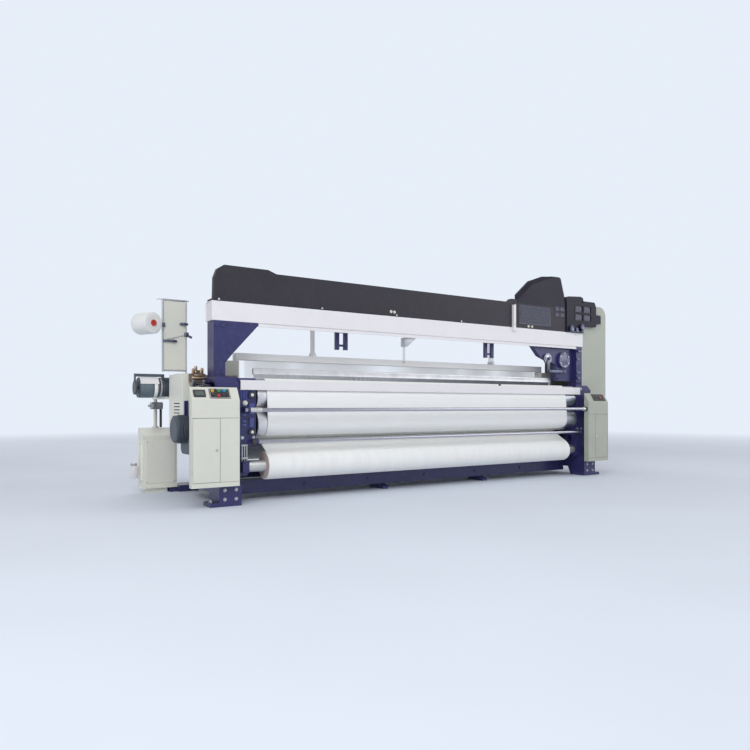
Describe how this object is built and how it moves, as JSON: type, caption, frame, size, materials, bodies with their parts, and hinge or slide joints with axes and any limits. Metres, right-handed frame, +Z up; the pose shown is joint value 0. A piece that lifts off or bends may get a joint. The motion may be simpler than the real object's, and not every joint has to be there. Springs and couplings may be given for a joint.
{
  "type": "power loom",
  "caption": "Wide shuttleless power loom with overhead shedding head, heald frames, rocking reed, front take-up rollers, cloth roll, warp beam and side weft feed.",
  "frame": {"origin": "floor level, under the middle of the machine's overall box", "axes": "+X along the cloth width towards the shedding head, +Y from the cloth side to the warp beam, +Z up"},
  "size_m": [5.2652, 1.9539, 2.199],
  "materials": {
    "navy_paint": "gloss enamel on castings",
    "black_paint": "satin black enamel",
    "cream_paint": "semi-gloss powder coat",
    "white_paint": "gloss white enamel",
    "panel_black": "textured panel film",
    "bright_steel": "ground bar",
    "chromed_steel": "polished plating",
    "roller_grey": "matt grey-blue coating",
    "press_cover": "cream rubber sleeve",
    "alloy": "extruded alloy",
    "reed_steel": "flat wire dents",
    "guide_plastic": "guide polymer",
    "woven_cloth": "plain weave filament",
    "warp_yarn": "sized filament yarn",
    "wound_cloth": "rolled cloth",
    "weft_yarn": "wound filament yarn",
    "motor_paint": "dark machine enamel",
    "brown_metal": "brown bronze-like metal",
    "wheel_black": "moulded black grip",
    "button_green": "moulded",
    "button_red": "moulded",
    "button_dark": "moulded"
  },
  "bodies": {
    "frame": {"left_frame": "navy_paint", "right_frame": "navy_paint", "lower_front_beam": "navy_paint", "mid_feet": "navy_paint", "rear_cross_beam": "navy_paint", "columns": "navy_paint", "top_beam": "white_paint", "under_beam_rail": "cream_paint", "left_gusset": "navy_paint", "linkage_housing": "navy_paint", "long_cover": "black_paint", "cover_post": "white_paint", "dobby_hood": "black_paint", "dobby_head": "black_paint", "right_side_cover": "cream_paint", "left_side_cover": "cream_paint", "left_box": "cream_paint", "right_box": "cream_paint", "left_panel": "panel_black", "right_panel": "panel_black", "drive_unit": "alloy", "breast_cover": "white_paint", "breast_bar": "bright_steel", "front_bars": "chromed_steel", "roller_brackets": "navy_paint", "heald_guides": "navy_paint", "frame_combs": "guide_plastic", "cloth": "woven_cloth", "warp_sheet": "warp_yarn", "motor": "motor_paint", "floor_cabinet": "cream_paint", "weft_stand": "bright_steel", "yarn_package": "weft_yarn", "feeder_post": "cream_paint", "feeder_body": "motor_paint", "nozzle_unit": "brown_metal", "beam_brackets": "navy_paint", "sley_bearings": "navy_paint", "wheel_post": "navy_paint"},
    "upper_roller": {"upper_roller": "roller_grey"},
    "takeup_roller": {"takeup_roller": "roller_grey"},
    "press_roller": {"press_roller": "press_cover"},
    "cloth_roll": {"cloth_roll": "wound_cloth"},
    "warp_beam": {"warp_beam": "alloy", "warp_yarn": "warp_yarn"},
    "back_rest": {"back_rest": "roller_grey"},
    "sley": {"sley": "alloy", "reed": "reed_steel"},
    "heald_1": {"heald_frame_1": "alloy"},
    "heald_2": {"heald_frame_2": "alloy"},
    "heald_3": {"heald_frame_3": "alloy"},
    "heald_4": {"heald_frame_4": "alloy"},
    "heald_5": {"heald_frame_5": "alloy"},
    "handwheel": {"handwheel": "wheel_black"},
    "feeder_disc": {"feeder_disc": "alloy"},
    "left_door": {"left_door": "cream_paint"},
    "right_door": {"right_door": "cream_paint"},
    "start_button": {"start_button": "button_green"},
    "stop_button": {"stop_button": "button_red"},
    "right_button": {"right_button": "button_dark"}
  },
  "joints": [
    {"name": "takeup_turn", "type": "hinge", "parent": "frame", "child": "takeup_roller", "pos_m": [0.02265, -0.743, 0.628], "axis": [1, 0, 0], "continuous": true},
    {"name": "upper_turn", "type": "hinge", "parent": "frame", "child": "upper_roller", "pos_m": [0.02265, -0.743, 0.842], "axis": [1, 0, 0], "continuous": true},
    {"name": "press_turn", "type": "hinge", "parent": "frame", "child": "press_roller", "pos_m": [0.02265, -0.647, 0.532], "axis": [1, 0, 0], "continuous": true},
    {"name": "roll_turn", "type": "hinge", "parent": "frame", "child": "cloth_roll", "pos_m": [0.02265, -0.772, 0.29], "axis": [1, 0, 0], "continuous": true},
    {"name": "beam_turn", "type": "hinge", "parent": "frame", "child": "warp_beam", "pos_m": [0.02265, 0.577, 0.56], "axis": [1, 0, 0], "continuous": true},
    {"name": "rest_turn", "type": "hinge", "parent": "frame", "child": "back_rest", "pos_m": [0.02265, 0.297, 0.9317], "axis": [1, 0, 0], "continuous": true},
    {"name": "sley_rock", "type": "hinge", "parent": "frame", "child": "sley", "pos_m": [0.02265, -0.483, 0.47], "axis": [1, 0, 0], "range_deg": [-8, 6]},
    {"name": "heald_lift_1", "type": "slide", "parent": "frame", "child": "heald_1", "axis": [0, 0, 1], "range_m": [-0.045, 0.045]},
    {"name": "heald_lift_2", "type": "slide", "parent": "frame", "child": "heald_2", "axis": [0, 0, 1], "range_m": [-0.045, 0.045]},
    {"name": "heald_lift_3", "type": "slide", "parent": "frame", "child": "heald_3", "axis": [0, 0, 1], "range_m": [-0.045, 0.045]},
    {"name": "heald_lift_4", "type": "slide", "parent": "frame", "child": "heald_4", "axis": [0, 0, 1], "range_m": [-0.045, 0.045]},
    {"name": "heald_lift_5", "type": "slide", "parent": "frame", "child": "heald_5", "axis": [0, 0, 1], "range_m": [-0.045, 0.045]},
    {"name": "handwheel_turn", "type": "hinge", "parent": "frame", "child": "handwheel", "pos_m": [-2.22735, -0.683, 0.838], "axis": [0, -0.4226, 0.9063], "continuous": true},
    {"name": "feeder_spin", "type": "hinge", "parent": "frame", "child": "feeder_disc", "pos_m": [-2.36235, 0.023, 0.925], "axis": [1, 0, 0], "continuous": true},
    {"name": "left_door_swing", "type": "hinge", "parent": "frame", "child": "left_door", "pos_m": [-2.37635, -0.973, 0.44], "axis": [0, 0, -1], "range_deg": [0, 95]},
    {"name": "right_door_swing", "type": "hinge", "parent": "frame", "child": "right_door", "pos_m": [2.28565, -0.973, 0.44], "axis": [0, 0, 1], "range_deg": [0, 95]},
    {"name": "start_press", "type": "slide", "parent": "frame", "child": "start_button", "axis": [0, -0.8505, 0.5261], "range_m": [-0.003, 0], "stiffness_N_per_m": 400, "springref_m": 0.001},
    {"name": "stop_press", "type": "slide", "parent": "frame", "child": "stop_button", "axis": [0, -0.8505, 0.5261], "range_m": [-0.003, 0], "stiffness_N_per_m": 400, "springref_m": 0.001},
    {"name": "right_press", "type": "slide", "parent": "frame", "child": "right_button", "axis": [0, -0.8505, 0.5261], "range_m": [-0.003, 0], "stiffness_N_per_m": 400, "springref_m": 0.001}
  ],
  "couplings": [
    {"joint": "upper_turn", "follows": "takeup_turn", "ratio": 1.1765},
    {"joint": "press_turn", "follows": "takeup_turn", "ratio": -3.3333},
    {"joint": "roll_turn", "follows": "takeup_turn", "ratio": 0.88496},
    {"joint": "beam_turn", "follows": "takeup_turn", "ratio": 0.30303},
    {"joint": "rest_turn", "follows": "takeup_turn", "ratio": 1.6667}
  ]
}
